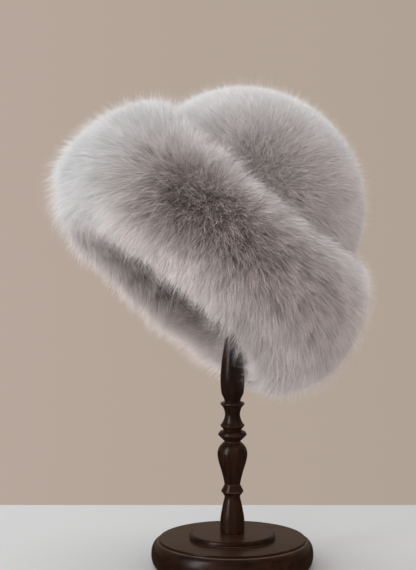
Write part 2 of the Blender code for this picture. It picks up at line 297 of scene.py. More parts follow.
def section_lines():
    """The cuff's wall and its hair vectors as dense lines of (radius, height), and the area round
    the hat up to each row, as shares from 0 to 1."""
    start = CROWN_RADIUS + SEAM_GAP
    wall = []
    hair = []
    for row in CUFF_SECTION:
        angle = math.radians(row["angle"])
        length = row["fur"] * CUFF_FUR_DEPTH
        wall.append(
            (
                start + row["across"] * (CUFF_RADIUS - start),
                CUFF_TOP - row["down"] * (CUFF_TOP + CUFF_RIM),
            )
        )
        hair.append((length * math.cos(angle), length * math.sin(angle)))
    wall = catmull_rom(wall, 32)
    hair = catmull_rom(hair, 32)
    tips = wall + hair
    steps = np.linalg.norm(np.diff(tips, axis=0), axis=1)
    arc = np.concatenate([[0.0], np.cumsum(steps)])
    ring = 0.5 * (tips[1:, 0] + tips[:-1, 0]) * steps
    area = np.concatenate([[0.0], np.cumsum(ring)])
    return wall, hair, arc / arc[-1], area / area[-1], arc[-1]


WALL_LINE, HAIR_LINE, ARC_SHARES, AREA_SHARES, SECTION_LENGTH = section_lines()


def cuff_shift(x, y, z):
    """How far the cuff is moved along the hat's axis: it is shallower in front, deeper behind."""
    away = np.maximum(np.hypot(x, y), 1e-9)
    up = np.clip((z + CUFF_RIM) / (CUFF_TOP + CUFF_RIM), 0.0, 1.0)
    front = np.maximum(0.0, -y / away) ** 1.5
    back = np.maximum(0.0, y / away) ** 1.5
    return front * (FRONT_LIFT * (1 - up) - FRONT_DIP * up) - back * BACK_DROP * (1 - up)


def cuff_point(angle, arc, depth):
    """Points of the cuff at an angle round the hat, a share of the section's length from the top
    edge, and a depth from the wall, 0, to the tips of the hair, 1."""
    wall_r = np.interp(arc, ARC_SHARES, WALL_LINE[:, 0])
    wall_z = np.interp(arc, ARC_SHARES, WALL_LINE[:, 1])
    hair_r = np.interp(arc, ARC_SHARES, HAIR_LINE[:, 0])
    hair_z = np.interp(arc, ARC_SHARES, HAIR_LINE[:, 1])
    swell = 1 + 0.5 * depth * cuff_swell(angle, arc)
    radius = wall_r + depth * hair_r * swell
    height = wall_z + depth * hair_z * swell
    x = radius * np.cos(angle)
    y = radius * np.sin(angle)
    return np.stack([x, y, height + cuff_shift(x, y, height)], axis=-1)


def cuff_swell(angle, arc):
    """Slow uneven swellings of the fur round the cuff, in shares of its depth."""
    broad = 0.10 * np.sin(3 * angle + 5 * arc + 0.6) + 0.08 * np.sin(7 * angle - 9 * arc + 2.1)
    fine = 0.06 * np.sin(12 * angle + 14 * arc + 4.0) + 0.05 * np.sin(19 * angle - 21 * arc + 1.1)
    return broad + fine * (1 - 0.8 * smooth_step(0.0, 0.5, np.sin(angle)))


def crown_foot(x, y):
    """Height at which the crown's fur meets the cuff's."""
    edge = WALL_LINE[0, 1] + HAIR_LINE[0, 1]
    return edge + cuff_shift(x, y, np.full_like(x, CUFF_TOP))


def crown_point(angle, arc, depth):
    """Points of the crown at an angle, a share of the way from its top to the cuff, and a depth."""
    offset = depth * CROWN_FUR_DEPTH * (1 + 0.5 * depth * crown_swell(angle, arc))
    reach = CROWN_RADIUS + offset
    foot = crown_foot(np.cos(angle), np.sin(angle))
    lowest = np.where(
        foot > 0,
        np.arccos(np.clip(foot / reach, -1, 1)),
        math.pi / 2 - foot / CROWN_RADIUS,
    )
    turn = arc * lowest
    flat = turn > math.pi / 2
    radius = np.where(flat, reach, reach * np.sin(turn))
    height = np.where(flat, -(turn - math.pi / 2) * CROWN_RADIUS, reach * np.cos(turn))
    return np.stack([radius * np.cos(angle), radius * np.sin(angle), height], axis=-1)


def crown_swell(angle, arc):
    """Slow uneven swellings of the crown's fur, in shares of its depth. The top has none."""
    fade = np.clip(4 * arc, 0.0, 1.0)
    return fade * (
        0.05 * np.sin(4 * angle + 3 * arc + 1.3)
        + 0.04 * np.sin(9 * angle - 7 * arc + 0.4)
        + 0.03 * np.sin(15 * angle + 11 * arc + 2.7)
    )


def surface_frame(point, angle, arc, depth):
    """At points of a surface: its outward normal, the way down the section and the way round."""
    step = 0.004
    round_way = point(angle + step, arc, depth) - point(angle - step, arc, depth)
    low = np.clip(arc - step, 0.0, 1.0)
    high = np.clip(arc + step, 0.0, 1.0)
    down_way = normalized(point(angle, high, depth) - point(angle, low, depth))
    round_way = normalized(round_way)
    normal = normalized(np.cross(down_way, round_way))
    return normal, down_way, round_way


def hat_pose():
    """Where the hat sits: its dome's inside rests on the stand's knob."""
    low, high = (np.array(corner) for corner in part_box("stand_knob"))
    radius = 0.5 * (high[0] - low[0])
    knob = Vector((0.0, 0.0, float(high[2] - radius)))
    reach = float(HEAD_RADIUS - radius - SEAT_GAP)
    to_knob = Vector((-math.sin(SEAT_ANGLE), 0.0, math.cos(SEAT_ANGLE)))
    turn = Matrix.Rotation(-HAT_LEAN_BACK, 4, "X") @ Matrix.Rotation(HAT_TILT, 4, "Y")
    return Matrix.Translation(knob - reach * to_knob) @ turn


HAT_POSE = hat_pose()
GRAVITY = np.array(HAT_POSE.to_3x3().inverted() @ Vector((0.0, 0.0, -1.0)))


def to_world(rows):
    """Points of the hat's own frame, where the hat sits."""
    turn = np.array(HAT_POSE.to_3x3())
    return rows @ turn.T + np.array(HAT_POSE.translation)


def new_object(name, mesh, look):
    """A piece of the object, which rides on its one body."""
    made = bpy.data.objects.new(name, mesh)
    bpy.context.scene.collection.objects.link(made)
    mesh.materials.append(look)
    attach(made, "root")
    return made


def add_values(mesh, key, values):
    """A number for each point of the mesh, which materials read by its name."""
    layer = mesh.attributes.new(key, "FLOAT", "POINT")
    layer.data.foreach_set("value", np.ravel(values).astype(np.float32))


def ribbon_mesh(name, lines, sides, widths, shades, tone, zone, warmth):
    """Narrow ribbons that taper to a point, as one mesh. lines: (hairs, points, 3) from root to tip,
    sides: (hairs, 3) the way across, widths: (hairs, points) with 0 at the tip, shades: (hairs,
    points) from 0 at the root to 1 at the tip, tone: (hairs,) how light each hair is, zone: (hairs,)
    how much it is of the dark coat, warmth: (hairs,) how rosy its light coat is."""
    count, points = lines.shape[:2]
    last = points - 1
    corners = np.empty((count, 2 * last + 1, 3))
    for row in range(last):
        half = 0.5 * sides * widths[:, row : row + 1]
        corners[:, 2 * row] = lines[:, row] - half
        corners[:, 2 * row + 1] = lines[:, row] + half
    corners[:, 2 * last] = lines[:, last]
    loops = []
    starts = []
    for row in range(last - 1):
        starts.append(len(loops))
        loops += [2 * row, 2 * row + 1, 2 * row + 3, 2 * row + 2]
    starts.append(len(loops))
    loops += [2 * last - 2, 2 * last - 1, 2 * last]
    order = np.arange(count)[:, None]
    mesh = bpy.data.meshes.new(name)
    mesh.vertices.add((2 * last + 1) * count)
    mesh.vertices.foreach_set("co", corners.ravel().astype(np.float32))
    mesh.loops.add(len(loops) * count)
    indices = (2 * last + 1) * order + np.array(loops)
    mesh.loops.foreach_set("vertex_index", indices.ravel().astype(np.int32))
    mesh.polygons.add(last * count)
    firsts = len(loops) * order + np.array(starts)
    mesh.polygons.foreach_set("loop_start", firsts.ravel().astype(np.int32))
    mesh.update(calc_edges=True)
    spread = [row // 2 for row in range(2 * last + 1)]
    values = {"shade": shades[:, spread]}
    for key, row in (("tone", tone), ("zone", zone), ("warmth", warmth)):
        values[key] = np.repeat(row[:, None], 2 * last + 1, axis=1)
    for key, rows in values.items():
        add_values(mesh, key, rows)
    return mesh


def even_spots(count):
    """Evenly spread spots: a share of an area and an angle round the hat for each."""
    order = np.arange(count)
    share = (order + rng.uniform(0.0, 1.0, count)) / count
    golden = math.pi * (3 - math.sqrt(5))
    return share, (order * golden + rng.normal(0.0, 0.002, count)) % (2 * math.pi)


def nearest_lock(angle, arc, ring, length, spacing):
    """For each hair, how far the nearest lock's middle lies round the hat and down the section, and
    a number from 0 to 1 that the lock's hairs share."""
    columns = np.maximum(1, np.round(2 * math.pi * ring / spacing))
    rows = max(1.0, round(length / spacing))
    across = angle / (2 * math.pi) * columns
    down = arc * rows
    best = np.full(len(angle), 1e9)
    best_across = np.zeros(len(angle))
    best_down = np.zeros(len(angle))
    chance = np.zeros(len(angle))
    for i in (-1, 0, 1):
        for j in (-1, 0, 1):
            cell_a = np.floor(across) + i
            cell_d = np.floor(down) + j
            seed = (cell_a % columns) * 12.9898 + cell_d * 78.233
            mid_a = cell_a + 0.5 + 0.7 * (np.modf(np.sin(seed) * 43758.5453)[0])
            mid_d = cell_d + 0.5 + 0.7 * (np.modf(np.sin(seed + 5.3) * 24634.6345)[0])
            gap = np.hypot(mid_a - across, mid_d - down)
            nearer = gap < best
            best = np.where(nearer, gap, best)
            best_across = np.where(nearer, mid_a - across, best_across)
            best_down = np.where(nearer, mid_d - down, best_down)
            draw = np.abs(np.modf(np.sin(seed + 9.1) * 15731.743)[0])
            chance = np.where(nearer, draw, chance)
    pull_round = best_across / columns * 2 * math.pi * ring
    pull_down = best_down / rows * length
    return pull_round, pull_down, chance


def grow(point, spots, lean, droop, reach, width, pull, wave, stray, bent=True, rooted=0.0):
    """Ribbons from the undercoat out to the fur's surface.

    spots: (angle, arc) of the roots, lean: the way that the hair leans, (hairs, 3), droop: the share
    by which its outer half hangs, reach: the depth of its tip, pull: (round, down) metres that its
    tip moves towards a lock's middle, wave: how far it bows to one side, as a share of its length,
    stray: how far single hairs differ, bent: False for one straight triangle a hair, rooted: the
    shade at the root.
    """
    angle, arc = spots
    count = len(angle)
    root = point(angle, arc, np.full(count, UNDERCOAT_DEPTH))
    out = point(angle, arc, reach) - root
    depth = np.linalg.norm(out, axis=1, keepdims=True)
    normal, down_way, round_way = surface_frame(point, angle, arc, np.full(count, FRAME_DEPTH))
    out = normalized(normalized(out) + normal)
    first = normalized(out + lean + stray * rng.normal(size=(count, 3)))
    second = normalized(first + lean + droop[:, None] * GRAVITY)
    rise = np.maximum(0.5 * (dot(first, out) + dot(second, out)), LEAST_RISE)
    length = depth / rise
    step = pull[0][:, None] * round_way + pull[1][:, None] * down_way
    sideways = wave[:, None] + BOW * rng.normal(size=(count, 1))
    bow = length * (sideways * round_way + BOW * rng.normal(size=(count, 1)) * down_way)
    middle = root + 0.5 * length * first + MIDDLE_PULL * step + bow
    tip = root + 0.5 * length * (first + second) + step
    along = normalized(tip - root)
    facing = np.cross(normal, along) + TWIST * rng.normal(size=root.shape)
    sides = normalized(facing - dot(facing, along) * along) @ np.array(HAT_POSE.to_3x3()).T
    lightness = rng.normal(0.0, SHADE_STRAY, (count, 1))
    if bent:
        lines = np.stack([root, middle, tip], axis=1)
        shares = np.array([0.0, 0.5, 1.0])
        widths = width[:, None] * np.array([1.0, 0.85, 0.0])
    else:
        lines = np.stack([root, tip], axis=1)
        shares = np.array([0.0, 1.0])
        widths = width[:, None] * np.array([1.0, 0.0])
    return {
        "lines": to_world(lines),
        "sides": sides,
        "widths": widths,
        "shades": np.clip(rooted + (1 - rooted) * shares + lightness, 0.0, 1.0),
    }


def fur_pieces(name, hairs, tone, look, node):
    """The hairs as joined meshes of nearly TRIANGLES_PER_PIECE triangles."""
    hairs["tone"] = tone
    count, points = hairs["lines"].shape[:2]
    parts = math.ceil(count * (2 * points - 3) / TRIANGLES_PER_PIECE)
    for k in range(parts):
        chosen = {key: rows[k::parts] for key, rows in hairs.items()}
        piece = f"{name}_{k + 1}"
        made = new_object(piece, ribbon_mesh(piece, **chosen), look)
        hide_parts(node)


def cuff_arc_of(share):
    """How far down the section a share of the cuff's area ends."""
    return np.interp(share, AREA_SHARES, ARC_SHARES)


def from_whorl(angle):
    """How far round the hat an angle lies from the whorl's, from -pi to pi."""
    return np.mod(angle - WHORL_ANGLE + math.pi, 2 * math.pi) - math.pi


def cuff_across(angle):
    """Degrees round the hat from the whorl, from -180 to 180, more towards +X."""
    return np.degrees(from_whorl(angle))


def cuff_behind(angle, arc):
    """1 on the low part of the cuff's far side, 0 in front."""
    return smooth_step(0.1, 0.6, np.sin(angle)) * smooth_step(0.45, 0.6, arc)


def cuff_lean(angle, arc, down_way, round_way):
    """The way the cuff's hair leans: away from a whorl in front, and down to the rim elsewhere."""
    ring = CUFF_RADIUS + 0.5 * CUFF_FUR_DEPTH
    across = from_whorl(angle) * ring
    down = (arc - WHORL_SHARE) * SECTION_LENGTH
    away = np.hypot(across, down)
    strength = smooth_step(0.0, 0.11, away)
    flow_round = strength * across / np.maximum(away, 1e-6)
    flow_down = strength * down / np.maximum(away, 1e-6)
    behind = smooth_step(0.15, 0.35, np.abs(across))
    right = smooth_step(0.02, 0.12, across) * (1 - behind)
    flow_round = 0.8 * flow_round * (1 - 0.5 * behind)
    flow_down = flow_down + 0.35 * behind + 0.35 * right
    turn = 0.30 * np.sin(21 * angle + 19 * arc + 2.0) + 0.25 * np.sin(37 * angle - 33 * arc + 0.7)
    flow_round, flow_down = (
        flow_round * np.cos(turn) - flow_down * np.sin(turn),
        flow_round * np.sin(turn) + flow_down * np.cos(turn),
    )
    return flow_round[:, None] * round_way + flow_down[:, None] * down_way


def cuff_zone(angle, arc):
    """How much of the dark coat shows, 0 to 1: most in a patch in front that runs round to +X. Inside
    the rim, and most on the side at INSIDE_SHADE_ANGLE, it is painted shade in the dark coat's colours.
    """
    across = cuff_across(angle)
    middle = PATCH["arc"] + PATCH["drop"] * smooth_step(5, -18, across)
    patch = np.where(
        across < 0, hump(across, 0, PATCH["left"], 4), hump(across, 0, PATCH["right"])
    )
    patch = patch * hump(arc, middle, PATCH["height"])
    run = np.where(
        across < RUN["across"],
        hump(across, RUN["across"], RUN["left"], 4),
        hump(across, RUN["across"], RUN["right"]),
    )
    below = RUN["below"] + 0.03 * hump(across, 22, 15)
    run = run * hump(arc, RUN["arc"], np.where(arc < RUN["arc"], RUN["above"], below))
    parting = hump(across, PARTING["across"], PARTING["width"])
    parting = parting * hump(arc, PARTING["arc"], PARTING["height"])
    # Painted shade inside the rim, deeper towards the head opening and on the side at
    # INSIDE_SHADE_ANGLE
    shaded = np.maximum(0.0, np.cos(angle - INSIDE_SHADE_ANGLE)) ** 4
    inside = 0.20 * smooth_step(0.78, 0.90, arc) + 0.30 * smooth_step(0.85, 0.95, arc)
    inside = inside + 0.14 * shaded * smooth_step(0.83, 0.90, arc)
    front = PATCH["share"] * patch + RUN["share"] * run + PARTING["share"] * parting
    return np.clip(front + inside, 0.0, 1.0)


def cuff_warmth(angle, arc):
    """How rosy the light coat is, 0 to 1: in front and towards +X below the ridge, and inside. Inside
    the rim and low on the far side the rosiness is a painted warm tint of shade.
    """
    across = cuff_across(angle)
    front = smooth_step(-48, -14, across) * (1 - 0.7 * smooth_step(100, 140, across))
    front = front * (0.3 + 0.7 * smooth_step(0.08, 0.24, arc))
    inside = smooth_step(0.70, 0.80, arc)
    return np.maximum(front, np.maximum(cuff_behind(angle, arc), inside))


def crown_across(angle):
    """Degrees round the hat from the crown's shaded side."""
    return np.degrees(np.mod(angle - CROWN_SHADE["angle"] + math.pi, 2 * math.pi) - math.pi)


def crown_zone(angle, arc):
    """Painted shade in the dark coat's colours: a little on one side, towards the cuff."""
    shade = hump(crown_across(angle), 0, CROWN_SHADE["width"])
    return CROWN_SHADE["share"] * shade * smooth_step(0.30, 0.80, arc)


def crown_warmth(angle, arc):
    """How rosy the light coat is, a painted warm tint of shade: most on the shaded side and right of
    it, towards the cuff.
    """
    rose = hump(crown_across(angle), CROWN_ROSE["across"], CROWN_ROSE["width"])
    return CROWN_ROSE["share"] * rose * smooth_step(0.25, 0.65, arc)


def cuff_places(angle, arc):
    """Where each hair of the cuff stands: degrees from the whorl, and shares from 0 to 1. rim: on the
    lower rim, near: on its near side, by_post: right of the post, ridge: along the top edge, hollow:
    inside the rim, behind: low on the far side."""
    across = cuff_across(angle)
    behind = cuff_behind(angle, arc)
    near = smooth_step(100, 70, across) * smooth_step(-115, -88, across)
    rim = smooth_step(0.56, 0.70, arc) * (1 - smooth_step(0.80, 0.88, arc))
    return {
        "across": across,
        "behind": behind,
        "rim": rim * (1 - 0.85 * behind),
        "near": near * smooth_step(0.50, 0.66, arc) * (1 - smooth_step(0.86, 0.94, arc)),
        "by_post": smooth_step(20, 34, across) * (1 - smooth_step(62, 80, across)),
        "ridge": 1 - smooth_step(0.08, 0.18, arc),
        "hollow": smooth_step(0.75, 0.85, arc),
    }


def cuff_locks(angle, arc):
    """The small lock, the large lock and the tuft of the rim that are nearest to each hair."""
    ring = CUFF_RADIUS + 0.5 * CUFF_FUR_DEPTH
    spacings = {"small": SMALL_LOCK, "large": LARGE_LOCK, "tuft": RIM_TUFT}
    return {
        size: nearest_lock(angle, arc, ring, SECTION_LENGTH, spacing)
        for size, spacing in spacings.items()
    }


def cuff_pull(place, locks, zone, lock):
    """How far each tip moves round the hat and down it, towards the middles of its locks."""
    rim, ridge = place["rim"], place["ridge"]
    small_lock = lock * (0.3 + 1.4 * zone) * (1 - rim) * (1 - 0.5 * ridge)
    large_lock = lock * (0.05 + 0.3 * zone) * (1 - ridge)
    pulls = zip(locks["small"][:2], locks["large"][:2], locks["tuft"][:2])
    return tuple(small_lock * a + large_lock * b + TUFT_PULL * rim * c for a, b, c in pulls)


def cuff_ends(place, locks, reach, spread):
    """The depth of each tip. The near rim is trimmed, most where it would hide the post, and a tuft's
    hairs are longest in its middle."""
    across, near, rim, behind = (place[key] for key in ("across", "near", "rim", "behind"))
    trimmed = near * (0.22 + 0.21 * smooth_step(-26, -48, across) + 0.26 * place["by_post"])
    if reach > 1:
        trimmed = 0.4 * trimmed
    middle = 1 - np.clip(np.hypot(*locks["tuft"][:2]) / TUFT_RADIUS, 0.0, 1.0)
    ends = reach * (1 - trimmed + 0.42 * rim * (middle - 0.35) + 0.03 * behind)
    ends = ends * np.exp(rng.normal(0.0, 1.0, len(across)) * (spread + 0.11 * behind))
    return np.minimum(ends, LONGEST)


def cuff_tone(angle, arc, place, locks, zone):
    """How light each hair is, about 1, with painted light and shade in places. It differs from lock to
    lock, more in the dark coat.
    """
    across, near, behind = (place[key] for key in ("across", "near", "behind"))
    sooty = 0.4 * zone * smooth_step(-1, -9, across)
    heart = hump(across, 0, 13) * hump(arc, 0.24, 0.09)
    # Painted shade towards CUFF_DIM_ANGLE, painted light opposite it, along the ridge and inside the
    # rim
    dim = 0.08 - 0.03 * smooth_step(0.25, 0.40, arc)
    tone = 0.98 - dim * np.cos(angle - CUFF_DIM_ANGLE) + 0.18 * place["hollow"] + 0.11 * place["ridge"]
    # Painted light low on the far side
    tone = tone + 0.25 * behind * (1 - place["hollow"]) - 0.15 * sooty + 0.26 * heart
    front = 0.18 * smooth_step(30, 0, across) - 0.16 * smooth_step(20, 30, across)
    front = front + 0.20 * smooth_step(42, 62, across)
    tone = tone + near * front * (1 - smooth_step(0.64, 0.74, arc))
    # Painted shade right of the post, on the inside of the rim seen below it
    tone = tone - 0.22 * near * place["by_post"] * smooth_step(0.67, 0.75, arc)
    strand = smooth_step(0.2, 0.8, locks["small"][2]) - 0.5
    tone = tone + (0.14 + 1.10 * zone) * strand + (0.07 + 0.20 * zone) * (locks["large"][2] - 0.5)
    return tone + rng.normal(0.0, 0.03, len(across))


def make_cuff_hairs(look, name, count, width, reach, spread, lock, bent, stray, pale=0.0):
    """One of CUFF_LAYERS. Hairs whose pale is above 0 grow only in the dark coat."""
    share, angle = even_spots(count)
    arc = cuff_arc_of(share)
    zone = cuff_zone(angle, arc)
    if pale:
        kept = rng.uniform(0.0, 1.0, count) < 2 * zone
        angle, arc, zone = angle[kept], arc[kept], zone[kept]
        count = len(angle)
    _, down_way, round_way = surface_frame(cuff_point, angle, arc, np.full(count, FRAME_DEPTH))
    lean = CUFF_LEAN * cuff_lean(angle, arc, down_way, round_way)
    place = cuff_places(angle, arc)
    locks = cuff_locks(angle, arc)
    draw = locks["small"][2]
    pull = cuff_pull(place, locks, zone, lock)
    ends = cuff_ends(place, locks, reach, spread)
    droop = 0.28 + 0.30 * hump(place["across"], 0, 60) + 0.7 * place["near"]
    tone = cuff_tone(angle, arc, place, locks, zone)
    widths = width * rng.uniform(0.7, 1.2, count)
    wave = (0.03 + 0.17 * zone) * (2 * np.modf(7 * draw)[0] - 1)
    loose = stray * (1 + 0.4 * zone[:, None])
    hairs = grow(cuff_point, (angle, arc), lean, droop, ends, widths, pull, wave, loose, bent)
    hairs["warmth"] = cuff_warmth(angle, arc)
    between = 0.16 * smooth_step(0.4, 0.1, draw) * hairs["warmth"] * (1 - place["behind"])
    hairs["zone"] = (1 - pale) * np.minimum(zone + between, 1.0)
    fur_pieces(name, hairs, tone, look, "cuff_fur")


def make_crown_hairs(look, name, count, width, reach, spread, lock, bent, stray):
    """One of CROWN_LAYERS."""
    share, angle = even_spots(count)
    arc = np.arccos(1 - share * (1 - math.cos(CROWN_END))) / CROWN_END
    _, down_way, _ = surface_frame(crown_point, angle, arc, np.full(count, FRAME_DEPTH))
    lean = CROWN_LEAN * down_way + np.array([0.0, CROWN_SWEEP, 0.0])
    reach_out = CROWN_RADIUS + CROWN_FUR_DEPTH
    ring = reach_out * np.sin(arc * math.pi / 2)
    pull_round, pull_down, draw = nearest_lock(
        angle, arc, ring, 0.5 * math.pi * reach_out, CROWN_LOCK
    )
    pull = (lock * pull_round, lock * pull_down)
    zone = crown_zone(angle, arc)
    ends = reach * np.exp(rng.normal(0.0, spread, count))
    # Painted light towards CROWN_LIT_ANGLE, painted shade opposite it, and painted light on the top
    tone = 1.01 + 0.06 * np.cos(angle - CROWN_LIT_ANGLE) + rng.normal(0.0, 0.03, count)
    tone = tone + 0.09 * hump(arc, 0, 0.3)
    tone = tone + (0.06 + 1.2 * zone) * (draw - 0.5)
    widths = width * rng.uniform(0.7, 1.2, count)
    droop = np.full(count, CROWN_DROOP)
    wave = 0.05 * (2 * np.modf(7 * draw)[0] - 1)
    hairs = grow(
        crown_point, (angle, arc), lean, droop, ends, widths, pull, wave, stray, bent, CROWN_ROOT_SHADE
    )
    hairs["zone"] = zone
    hairs["warmth"] = crown_warmth(angle, arc)
    fur_pieces(name, hairs, tone, look, "crown_fur")


def undercoat(name, point, zone_of, columns, rows, look, node, closed_top=False):
    """The dense short fur that the hairs stand in: a soft uneven skin under their tips."""
    angles = np.linspace(0, 2 * math.pi, columns, endpoint=False)
    arcs = np.linspace(0.0, 1.0, rows)
    angle, arc = (grid.ravel() for grid in np.meshgrid(angles, arcs, indexing="ij"))
    depth = UNDERCOAT_DEPTH + 0.03 * rng.normal(size=angle.shape)
    spots = to_world(point(angle, arc, depth)).reshape(columns, rows, 3)
    if closed_top:
        spots[:, 0] = spots[:, 0].mean(axis=0)
    index = np.arange(columns * rows).reshape(columns, rows)
    around = np.roll(index, -1, axis=0)
    faces = np.stack([index[:, :-1], index[:, 1:], around[:, 1:], around[:, :-1]], axis=-1)
    mesh = bpy.data.meshes.new(name)
    mesh.from_pydata(spots.reshape(-1, 3).tolist(), [], faces.reshape(-1, 4).tolist())
    mesh.shade_smooth()
    add_values(mesh, "zone", zone_of(angle, arc))
    made = new_object(name, mesh, look)
    if closed_top:
        weld = made.modifiers.new("Weld", "WELD")
        weld.merge_threshold = SAME_PLACE
    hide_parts(node)


def node_of(tree, kind, **settings):
    made = tree.nodes.new(kind)
    for key, value in settings.items():
        setattr(made, key, value)
    return made


def new_look(name, roughness, specular=0.5):
    look = bpy.data.materials.new(name)
    look.use_nodes = True
    shader = look.node_tree.nodes["Principled BSDF"]
    shader.inputs["Roughness"].default_value = roughness
    shader.inputs["Specular IOR Level"].default_value = specular
    return look, look.node_tree, shader


def ramp(tree, factor, stops):
    made = node_of(tree, "ShaderNodeValToRGB")
    elements = made.color_ramp.elements
    while len(elements) < len(stops):
        elements.new(0.5)
    for element, (place, colour) in zip(elements, stops):
        element.position = place
        element.color = (*colour, 1.0)
    tree.links.new(factor, made.inputs["Fac"])
    return made.outputs["Color"]


def noise(tree, scale, detail=3.0, stretch=(1.0, 1.0, 1.0), roughness=0.5):
    """Noise from 0 to 1, in the object's own metres. stretch: scale along X, Y and Z."""
    place = node_of(tree, "ShaderNodeTexCoord")
    mapping = node_of(tree, "ShaderNodeMapping")
    mapping.inputs["Scale"].default_value = stretch
    made = node_of(tree, "ShaderNodeTexNoise")
    made.inputs["Scale"].default_value = scale
    made.inputs["Detail"].default_value = detail
    made.inputs["Roughness"].default_value = roughness
    tree.links.new(place.outputs["Object"], mapping.inputs["Vector"])
    tree.links.new(mapping.outputs["Vector"], made.inputs["Vector"])
    return made.outputs["Fac"]


def scaled(tree, colour, factor):
    made = node_of(tree, "ShaderNodeVectorMath", operation="SCALE")
    tree.links.new(colour, made.inputs[0])
    tree.links.new(factor, made.inputs["Scale"])
    return made.outputs["Vector"]


def attribute(tree, name):
    return node_of(tree, "ShaderNodeAttribute", attribute_name=name).outputs["Fac"]


def map_range(tree, value, low, high, to_low, to_high):
    made = node_of(tree, "ShaderNodeMapRange")
    for key, number in (
        ("From Min", low),
        ("From Max", high),
        ("To Min", to_low),
        ("To Max", to_high),
    ):
        made.inputs[key].default_value = number
    tree.links.new(value, made.inputs["Value"])
    return made.outputs["Result"]


def multiply(tree, a, b):
    made = node_of(tree, "ShaderNodeMath", operation="MULTIPLY")
    tree.links.new(a, made.inputs[0])
    tree.links.new(b, made.inputs[1])
    return made.outputs["Value"]


def mixed(tree, factor, a, b):
    """a where the factor is 0 and b where it is 1. b: an output, or one colour."""
    made = node_of(tree, "ShaderNodeMix", data_type="RGBA")
    tree.links.new(factor, made.inputs["Factor"])
    tree.links.new(a, made.inputs["A"])
    if isinstance(b, tuple):
        made.inputs["B"].default_value = (*b, 1.0)
    else:
        tree.links.new(b, made.inputs["B"])
    return made.outputs["Result"]


def add_bump(tree, shader, height, strength, distance):
    made = node_of(tree, "ShaderNodeBump")
    made.inputs["Strength"].default_value = strength
    made.inputs["Distance"].default_value = distance
    tree.links.new(height, made.inputs["Height"])
    tree.links.new(made.outputs["Normal"], shader.inputs["Normal"])


def fur_look():
    """Silver hair: nearly even along its length in the light coat, which is rosy in places, and in
    the dark coat dark at the root with only its tip pale."""
    look, tree, shader = new_look("silver_hair", 0.65, 0.25)
    shade = attribute(tree, "shade")
    silver = ramp(
        tree,
        shade,
        ((0.0, (0.60, 0.545, 0.535)), (0.5, (0.772, 0.757, 0.754)), (1.0, (0.852, 0.868, 0.868))),
    )
    rosy = ramp(
        tree,
        shade,
        ((0.0, (0.61, 0.515, 0.49)), (0.5, (0.805, 0.74, 0.72)), (1.0, (0.885, 0.845, 0.825))),
    )
    light = mixed(tree, attribute(tree, "warmth"), silver, rosy)
    dark = ramp(
        tree,
        shade,
        ((0.0, (0.042, 0.028, 0.024)), (0.5, (0.185, 0.133, 0.119)), (0.9, (0.64, 0.55, 0.53))),
    )
    patches = map_range(tree, noise(tree, 38.0), 0.3, 0.7, 0.95, 1.04)
    # tone, zone and warmth carry painted light and shade as well as each hair's own colour
    strength = multiply(tree, attribute(tree, "tone"), patches)
    coat = mixed(tree, attribute(tree, "zone"), light, dark)
    tree.links.new(scaled(tree, coat, strength), shader.inputs["Base Color"])
    return look


def undercoat_look(name, low, high):
    """The dense short fur: low and high are the dark and pale specks of its light coat."""
    look, tree, shader = new_look(name, 0.95, 0.1)
    fine = noise(tree, 900.0, 4.0)
    light = ramp(tree, fine, ((0.3, low), (0.75, high)))
    dark = ramp(tree, fine, ((0.3, (0.022, 0.016, 0.014)), (0.75, (0.060, 0.048, 0.043))))
    # zone also brings painted shade inside the rim and on the crown
    coat = mixed(tree, attribute(tree, "zone"), light, dark)
    tree.links.new(coat, shader.inputs["Base Color"])
    add_bump(tree, shader, fine, strength=0.8, distance=0.0015)
    return look


def suede_look():
    """The pelt's napped leather side."""
    look, tree, shader = new_look("suede", 0.9, 0.2)
    soft = noise(tree, 70.0, 5.0)
    colour = ramp(tree, soft, ((0.3, (0.20, 0.165, 0.14)), (0.7, (0.33, 0.285, 0.25))))
    tree.links.new(colour, shader.inputs["Base Color"])
    shader.inputs["Sheen Weight"].default_value = 0.3
    add_bump(tree, shader, noise(tree, 1400.0), strength=0.35, distance=0.0006)
    return look


def wood_look(name, stretch):
    """Dark stained wood with a satin finish, with a painted sheen that lightens its top faces, and
    rubbed
    along its corners. stretch: noise scale along X, Y and Z."""
    look, tree, shader = new_look(name, 0.30, 0.50)
    grain = noise(tree, 260.0, 6.0, stretch, 0.6)
    broad = noise(tree, 22.0, 3.0, stretch)
    colour = ramp(tree, grain, ((0.32, (0.010, 0.0037, 0.0016)), (0.70, (0.034, 0.0120, 0.0048))))
    # Painted sheen: the lighter colour of the top faces
    painted_top_sheen = ramp(tree, grain, ((0.32, (0.026, 0.0115, 0.0054)), (0.70, (0.055, 0.0255, 0.0125))))
    colour = scaled(tree, colour, map_range(tree, broad, 0.4, 0.7, 0.75, 1.7))
    colour = mixed(tree, attribute(tree, "painted_top_sheen"), colour, painted_top_sheen)
    worn = attribute(tree, "worn")
    rubbed = multiply(tree, worn, map_range(tree, broad, 0.35, 0.65, 0.2, 1.0))
    colour = mixed(tree, rubbed, colour, (0.290, 0.195, 0.140))
    tree.links.new(colour, shader.inputs["Base Color"])
    tree.links.new(map_range(tree, broad, 0.3, 0.7, 0.26, 0.34), shader.inputs["Roughness"])
    add_bump(tree, shader, grain, strength=0.12, distance=0.0004)
    return look


